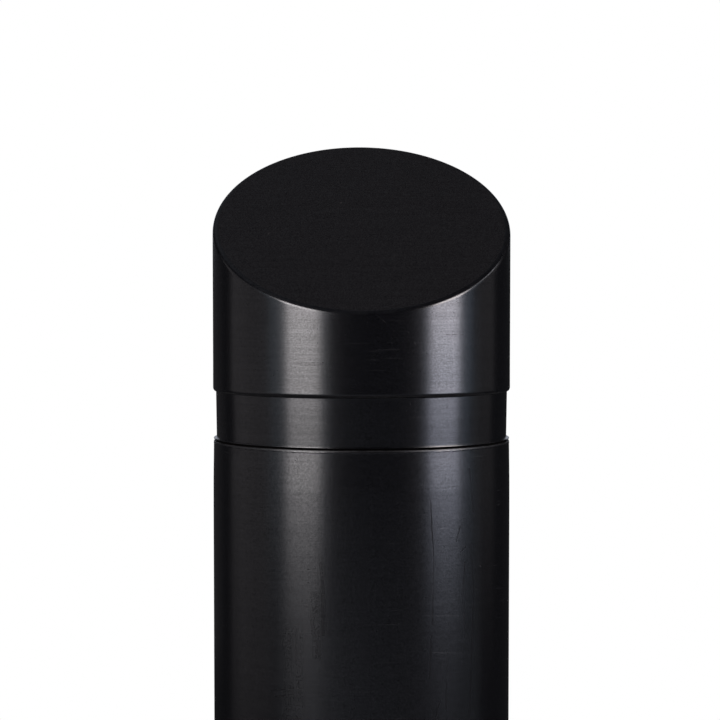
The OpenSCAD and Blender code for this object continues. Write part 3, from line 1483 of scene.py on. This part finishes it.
@dataclass
class FoamPads:
    """Foam pads that centre the post, glued inside the tube in two rows of four.

    Attributes:
        inner: Radius of a pad's face.
        outer: Radius of its glued back.
        droop: How far the die has pressed back the face at its edges.
        edge_power: How close to the edge that starts, higher for closer.
        lumps: How far the face sinks from place to place.
        lump_scale: Lumps to the length of a pad.
        fill: How tight a pad is, from 0 for slack to 1; not used.
        points: Points of the block along the pad, through it and up it.
        seed_step: How far the seeds of neighbouring pads lie apart.
        tree: The Geometry Nodes tree, built once for every pad.
    """

    inner: float = 110.0 * MM
    outer: float = 114.75 * MM
    droop: float = 0.9 * MM
    edge_power: float = 10.0
    lumps: float = 0.25 * MM
    lump_scale: float = 5.0
    fill: float = 0.9
    points: tuple[int, int, int] = (40, 4, 16)
    seed_step: float = 5.0
    tree: Tree = field(init=False)

    def __post_init__(self) -> None:
        """Builds the tree."""
        self.tree = bpy.data.node_groups.new("foam_pad", "GeometryNodeTree")
        labels = [
            "Turn", "Span", "Inner radius", "Outer radius", "Foot", "Height", "Droop", "Lumps", "Seed",
        ]
        inputs = {"Stock": "Geometry", **dict.fromkeys(labels, "Float"), "Foam": "Material"}
        declare(self.tree, inputs, {"Pad": "Geometry"})
        self.wire()

    def wire(self) -> None:
        """Joins up the tree."""
        w = Wiring(self.tree)
        given = w.add("NodeGroupInput").outputs
        counts = {f"Vertices {axis}": count for axis, count in zip("XYZ", self.points)}
        block = w.add("GeometryNodeMeshCube", {"Size": (1.0, 1.0, 1.0), **counts}).outputs["Mesh"]
        own = w.add("GeometryNodeInputPosition").outputs["Position"]
        place = w.split(own)

        def edge(value: Socket) -> Socket:
            """Returns 0 over the middle of the face, rising to 1 at its edge."""
            return w.math("POWER", w.math("ABSOLUTE", w.times(value, 2.0)), self.edge_power)

        faceward = w.minus(0.5, place["Y"])
        noise = {"Vector": own, "W": given["Seed"], "Scale": self.lump_scale, "Detail": 2.0}
        lumpy = w.add("ShaderNodeTexNoise", noise, noise_dimensions="4D").outputs["Fac"]
        pressed = w.times(w.most(edge(place["X"]), edge(place["Z"])), given["Droop"])
        sunk = w.scaled(lumpy, given["Lumps"], pressed)
        thickness = w.minus(given["Outer radius"], given["Inner radius"])
        back = w.minus(given["Outer radius"], w.times(faceward, thickness))
        radius = w.scaled(faceward, sunk, back)
        angle = w.scaled(place["X"], given["Span"], given["Turn"])
        level = w.scaled(w.total(place["Z"], 0.5), given["Height"], given["Foot"])
        aside = w.times(radius, w.math("SINE", angle))
        forward = w.times(radius, w.times(w.math("COSINE", angle), -1.0))
        curved = w.joined(aside, forward, level)
        pad = w.first("GeometryNodeSetPosition", {"Geometry": block, "Position": curved})
        pad = w.first("GeometryNodeSubdivisionSurface", {"Mesh": pad, "Level": 1})
        pad = w.first("GeometryNodeSetShadeSmooth", {"Geometry": pad}, domain="FACE")
        pad = w.first("GeometryNodeRealizeInstances", {"Geometry": pad})
        pad = w.first("GeometryNodeSetMaterial", {"Geometry": pad, "Material": given["Foam"]})
        w.add("NodeGroupOutput", {"Pad": pad})

    def build(self, effects: Effects) -> list[Object]:
        """Cuts the pads and dresses them.

        Args:
            effects: Shared groups.

        Returns:
            The pieces.
        """
        foam = PadFoam("pad_foam").material(effects)
        front_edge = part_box(Row.LOWER.pad(Side.FRONT))[1].x
        span = 2 * math.asin(front_edge / self.outer)
        pieces = []
        for row in Row:
            for number, side in enumerate(Side):
                node = row.pad(side)
                low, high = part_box(node)
                name = f"{node}_block"
                piece = bpy.data.objects.new(name, bpy.data.meshes.new(name))
                bake_nodes(piece, self.tree, {
                    "Turn": math.radians(side.value),
                    "Span": span,
                    "Inner radius": self.inner,
                    "Outer radius": self.outer,
                    "Foot": low.z,
                    "Height": high.z - low.z,
                    "Droop": self.droop,
                    "Lumps": self.lumps,
                    "Seed": self.seed_step * number + low.z,
                    "Foam": foam,
                })
                pieces.append(settle(piece, node))
        return pieces


# Studio and camera

@dataclass(frozen=True)
class SoftBox:
    """A soft box or reflector that faces the sleeve's axis.

    Attributes:
        name: Its name.
        bearing: Where it stands, in degrees from the front towards +X.
        spread: The angle that it fills, seen from the axis, in degrees.
        low: Height of its lower edge.
        high: Height of its upper edge.
        radiance: How bright its face is.
        tint: Its colour.
        distance: How far from the axis it stands.
        feather: Height over which its lower edge fades out.
        low_tint: Its colour where it has faded out, if that is another.
        bands: How many bands that height has.
        fade: How the brightness falls from band to band, 1 for evenly.
    """

    name: str
    bearing: float
    spread: float
    low: float
    high: float
    radiance: float
    tint: Colour = (1.0, 1.0, 1.0)
    distance: float = 1.9
    feather: float = 0.0
    low_tint: Colour | None = None
    bands: int = 8
    fade: float = 0.86

    def hang(self) -> None:
        """Hangs the box, and under it the bands in which its lower edge fades out."""
        tint = Vector(self.tint)
        self.hang_panel(self.name, self.low, self.high, self.radiance, tint)
        if not self.feather:
            return
        low_tint = Vector(self.low_tint or self.tint)
        step = self.feather / self.bands
        for band in range(self.bands):
            share = (band + 0.5) / self.bands
            low = self.low - self.feather + band * step
            radiance = self.radiance * share**self.fade
            name = f"{self.name}_band_{band + 1}"
            self.hang_panel(name, low, low + step, radiance, low_tint.lerp(tint, share))

    def hang_panel(
        self, name: str, low: float, high: float, radiance: float, tint: Vector
    ) -> Object:
        """Hangs one lit panel.

        Args:
            name: Name of the lamp.
            low: Height of its lower edge.
            high: Height of its upper edge.
            radiance: How bright its face is.
            tint: Its colour.

        Returns:
            The lamp.
        """
        lamp = bpy.data.lights.new(name, "AREA")
        lamp.shape = "RECTANGLE"
        lamp.size = 2 * self.distance * math.tan(math.radians(self.spread / 2))
        lamp.size_y = high - low
        lamp.color = tint
        lamp.energy = radiance * math.pi * lamp.size * lamp.size_y
        panel = bpy.data.objects.new(name, lamp)
        bearing = math.radians(self.bearing)
        outward = Vector((math.sin(bearing), -math.cos(bearing), 0.0))
        panel.location = outward * self.distance + Vector((0.0, 0.0, (low + high) / 2))
        panel.rotation_euler = (-outward).to_track_quat("-Z", "Y").to_euler()
        panel.visible_camera = False
        bpy.context.scene.collection.objects.link(panel)
        return panel


@dataclass
class Studio:
    """Pale floor, dim room, white page behind the sleeve and soft boxes to its sides.

    Attributes:
        floor_radius: Radius of the floor.
        floor_sides: How many sides its edge has.
        clear_radius: Radius inside which the floor keeps its own colour before it fades to the page.
        page_share: Share of the floor's radius at which it has faded to the page.
        floor_colour: Colour of the floor.
        floor_in_gloss: The floor's colour in a mirror, where it is kept out of the shiny skin.
        floor_lift: Light that the floor adds for the camera, so that it looks pale.
        page_in_gloss: Share of the page's white that satin plastic mirrors.
        room_level: How bright the room's walls are.
        room_tint: Colour of the room.
        apron_level: How much brighter the floor in front is.
        apron_skew: How much brighter the apron is towards the left.
        apron_y: Where it starts and where it is full, on the Y axis of the direction that it is seen in.
        apron_z: The same on the Z axis.
        ceiling_level: How much brighter the ceiling is.
        ceiling_skew: How much brighter the ceiling is towards the left.
        ceiling_z: Where it starts and where it is full, on the Z axis.
        ceiling_x: The same on the X axis, to both sides.
        least_skew: Least share of its light that a skew leaves.
        backdrop_level: How bright the backdrop is, in the strip behind the sleeve just above the floor.
        backdrop_y: Where it starts and where it is full, on the Y axis.
        backdrop_foot: The same on the Z axis, at its foot.
        backdrop_top: The same on the Z axis, at its top.
        boxes: Soft boxes and reflectors round the sleeve.
    """

    floor_radius: float = 2.4
    floor_sides: int = 180
    clear_radius: float = 0.8
    page_share: float = 0.95
    floor_colour: Colour = (0.42, 0.42, 0.42)
    floor_in_gloss: Colour = (0.14, 0.14, 0.14)
    floor_lift: float = 0.62
    page_in_gloss: float = 0.004
    room_level: float = 0.008
    room_tint: Colour = (0.88, 0.93, 1.06)
    apron_level: float = 0.32
    apron_skew: float = 0.65
    apron_y: Range = (-0.2, -0.75)
    apron_z: Range = (-0.06, -0.24)
    ceiling_level: float = 0.064
    ceiling_skew: float = 1.5
    ceiling_z: Range = (0.3, 0.8)
    ceiling_x: Range = (0.85, 0.5)
    least_skew: float = 0.3
    backdrop_level: float = 0.5
    backdrop_y: Range = (0.9, 0.97)
    backdrop_foot: Range = (0.0, 0.05)
    backdrop_top: Range = (0.25, 0.15)
    boxes: tuple[SoftBox, ...] = (
        SoftBox(
            "left_soft_box", -45.0, 26.6, 1.2, 1.9, 11.3, (1.0, 0.938, 0.945),
            feather=0.668, low_tint=(0.985, 0.935, 0.955),
        ),
        SoftBox("left_glow", -49.5, 48.0, 0.9, 2.0, 0.58, (0.68, 0.84, 1.0), 1.95, feather=0.45),
        SoftBox("left_reflector", -95.5, 44.0, 0.8, 2.0, 0.205, (1.0, 0.94, 0.98), 2.2, feather=0.9),
        SoftBox(
            "right_soft_box", 64.2, 26.0, 1.1, 1.9, 12.4, (1.0, 0.913, 0.91),
            feather=0.53, low_tint=(0.63, 0.7, 0.95),
        ),
        SoftBox("right_glow", 68.5, 44.0, 0.9, 2.0, 0.58, (0.5, 0.72, 1.0), 1.95, feather=0.45),
        SoftBox("right_reflector", 107.0, 24.0, 0.9, 2.0, 0.13, (1.0, 0.95, 0.98), 2.2, feather=0.6),
        SoftBox("left_rear_reflector", -150.0, 34.0, 0.3, 1.8, 0.013, (1.0, 0.94, 1.0), 2.2),
        SoftBox("left_low_reflector", -88.0, 38.0, 0.1, 0.8, 0.06, (1.0, 0.94, 0.98), 2.2, feather=0.6),
        SoftBox("right_low_reflector", 80.0, 40.0, 0.1, 0.9, 0.1, (0.8, 0.9, 1.0), 2.2, feather=0.6),
        SoftBox("right_high_panel", 97.0, 26.0, 1.9, 2.4, 1.6, (0.935, 0.925, 1.0), 2.0),
    )

    def build(self) -> None:
        """Builds the whole studio."""
        for box in self.boxes:
            box.hang()
        self.lay_floor()
        self.light_room()

    def lay_floor(self) -> Object:
        """Lays the floor.

        Returns:
            The floor.
        """
        sides = self.floor_sides
        turns = [math.tau * side / sides for side in range(sides)]
        rim = [Vector((math.cos(turn), math.sin(turn), 0.0)) * self.floor_radius for turn in turns]
        mesh = bpy.data.meshes.new("studio_floor")
        mesh.from_pydata(rim, [], [list(range(sides))])
        mesh.materials.append(self.floor_paint())
        floor = bpy.data.objects.new("studio_floor", mesh)
        bpy.context.scene.collection.objects.link(floor)
        return floor

    def floor_paint(self) -> Material:
        """Makes the floor's finish, which keeps the shadow, fades to the page and is clear from below.

        Returns:
            The material.
        """
        material = bpy.data.materials.new("studio_floor_paint")
        w = start_wiring(material)
        rays = w.add("ShaderNodeLightPath").outputs
        place = w.add("ShaderNodeTexCoord").outputs["Object"]
        reach = w.add("ShaderNodeVectorMath", {0: place}, operation="LENGTH").outputs["Value"]
        seen = w.most(rays["Is Camera Ray"], rays["Is Transmission Ray"])
        fade = w.times(seen, w.step(reach, self.clear_radius, self.page_share * self.floor_radius))
        paint_colour = w.blend(rays["Is Glossy Ray"], self.floor_colour, self.floor_in_gloss)
        paint = w.first("ShaderNodeBsdfDiffuse", {"Color": paint_colour})
        lift = w.first("ShaderNodeEmission", {"Strength": w.times(seen, self.floor_lift)})
        lifted = w.first("ShaderNodeAddShader", {0: paint, 1: lift})
        page = w.first("ShaderNodeEmission", {"Strength": 1.0})
        faded = w.first("ShaderNodeMixShader", {0: fade, 1: lifted, 2: page})
        below = w.add("ShaderNodeNewGeometry").outputs["Backfacing"]
        clear = w.first("ShaderNodeBsdfTransparent")
        surface = w.first("ShaderNodeMixShader", {0: below, 1: faded, 2: clear})
        w.add("ShaderNodeOutputMaterial", {"Surface": surface})
        return material

    def light_room(self) -> None:
        """Lights the dim room, its pale apron of floor and paler ceiling, and the white page."""
        world = bpy.data.worlds.new("studio_room")
        bpy.context.scene.world = world
        w = start_wiring(world)
        rays = w.add("ShaderNodeLightPath").outputs
        ray = w.add("ShaderNodeTexCoord").outputs["Generated"]
        aim = w.split(ray)

        def skewed(skew: float) -> Socket:
            """Returns a share of light that grows towards the left."""
            return w.most(w.scaled(aim["X"], -skew, 1.0), self.least_skew)

        front = w.times(w.step(aim["Y"], *self.apron_y), w.step(aim["Z"], *self.apron_z))
        apron = w.times(front, skewed(self.apron_skew))
        sideways = w.math("ABSOLUTE", aim["X"])
        overhead = w.times(w.step(aim["Z"], *self.ceiling_z), w.step(sideways, *self.ceiling_x))
        ceiling = w.times(overhead, skewed(self.ceiling_skew))
        strip = w.times(w.step(aim["Z"], *self.backdrop_foot), w.step(aim["Z"], *self.backdrop_top))
        backdrop = w.times(w.step(aim["Y"], *self.backdrop_y), strip)
        level = w.total(
            self.room_level,
            w.times(apron, self.apron_level),
            w.times(ceiling, self.ceiling_level),
            w.times(backdrop, self.backdrop_level),
        )
        room = w.first("ShaderNodeBackground", {"Color": self.room_tint, "Strength": level})
        page = w.first("ShaderNodeBackground", {"Color": (1.0, 1.0, 1.0), "Strength": 1.0})
        mirrored = w.times(rays["Is Glossy Ray"], self.page_in_gloss)
        seen = w.most(rays["Is Camera Ray"], rays["Is Transmission Ray"], mirrored)
        surface = w.first("ShaderNodeMixShader", {0: seen, 1: room, 2: page})
        w.add("ShaderNodeOutputWorld", {"Surface": surface})


@dataclass(frozen=True)
class PhotoCamera:
    """Camera at the photograph's place.

    Attributes:
        lens: Focal length, in millimetres.
        sensor: Width of the sensor, in millimetres.
        distance: Distance from the sleeve's axis.
        height: Height above the base.
        bearing: Where it stands, in degrees from the front towards +X.
        pitch: How far it looks down, in degrees.
        rise: How far its lens is shifted up, as a share of the picture.
        aside: How far it looks to the left of the axis, in degrees.
        roll: How far it is turned about its own axis, in degrees.
    """

    lens: float = 123.656
    sensor: float = 36.0
    distance: float = 2.0
    height: float = 0.9729
    bearing: float = -0.85
    pitch: float = 3.689
    rise: float = 0.0779
    aside: float = 0.035
    roll: float = -0.005

    def place(self) -> Object:
        """Places the camera.

        Returns:
            The camera, which is the scene's own.
        """
        data = bpy.data.cameras.new("photo_camera")
        data.lens = self.lens
        data.sensor_width = self.sensor
        data.shift_y = self.rise
        camera = bpy.data.objects.new("photo_camera", data)
        bearing = math.radians(self.bearing)
        outward = Vector((math.sin(bearing), -math.cos(bearing), 0.0))
        camera.location = outward * self.distance + Vector((0.0, 0.0, self.height))
        camera.rotation_euler = (
            math.radians(90 - self.pitch), math.radians(self.roll), bearing + math.radians(self.aside),
        )
        bpy.context.scene.collection.objects.link(camera)
        bpy.context.scene.camera = camera
        return camera


def main() -> None:
    """Builds the pieces in order, then the studio and the camera."""
    logging.basicConfig(level=logging.INFO, format="%(name)s: %(message)s")
    bpy.context.scene.view_settings.view_transform = "Standard"
    effects = Effects()
    turner = ShellTurner()
    SleeveTube().build(turner, effects)
    SlantCap().build(turner, effects)
    SealRings().build(turner, effects)
    FoamPads().build(effects)
    Studio().build()
    PhotoCamera().place()


if __name__ == "__main__":
    main()
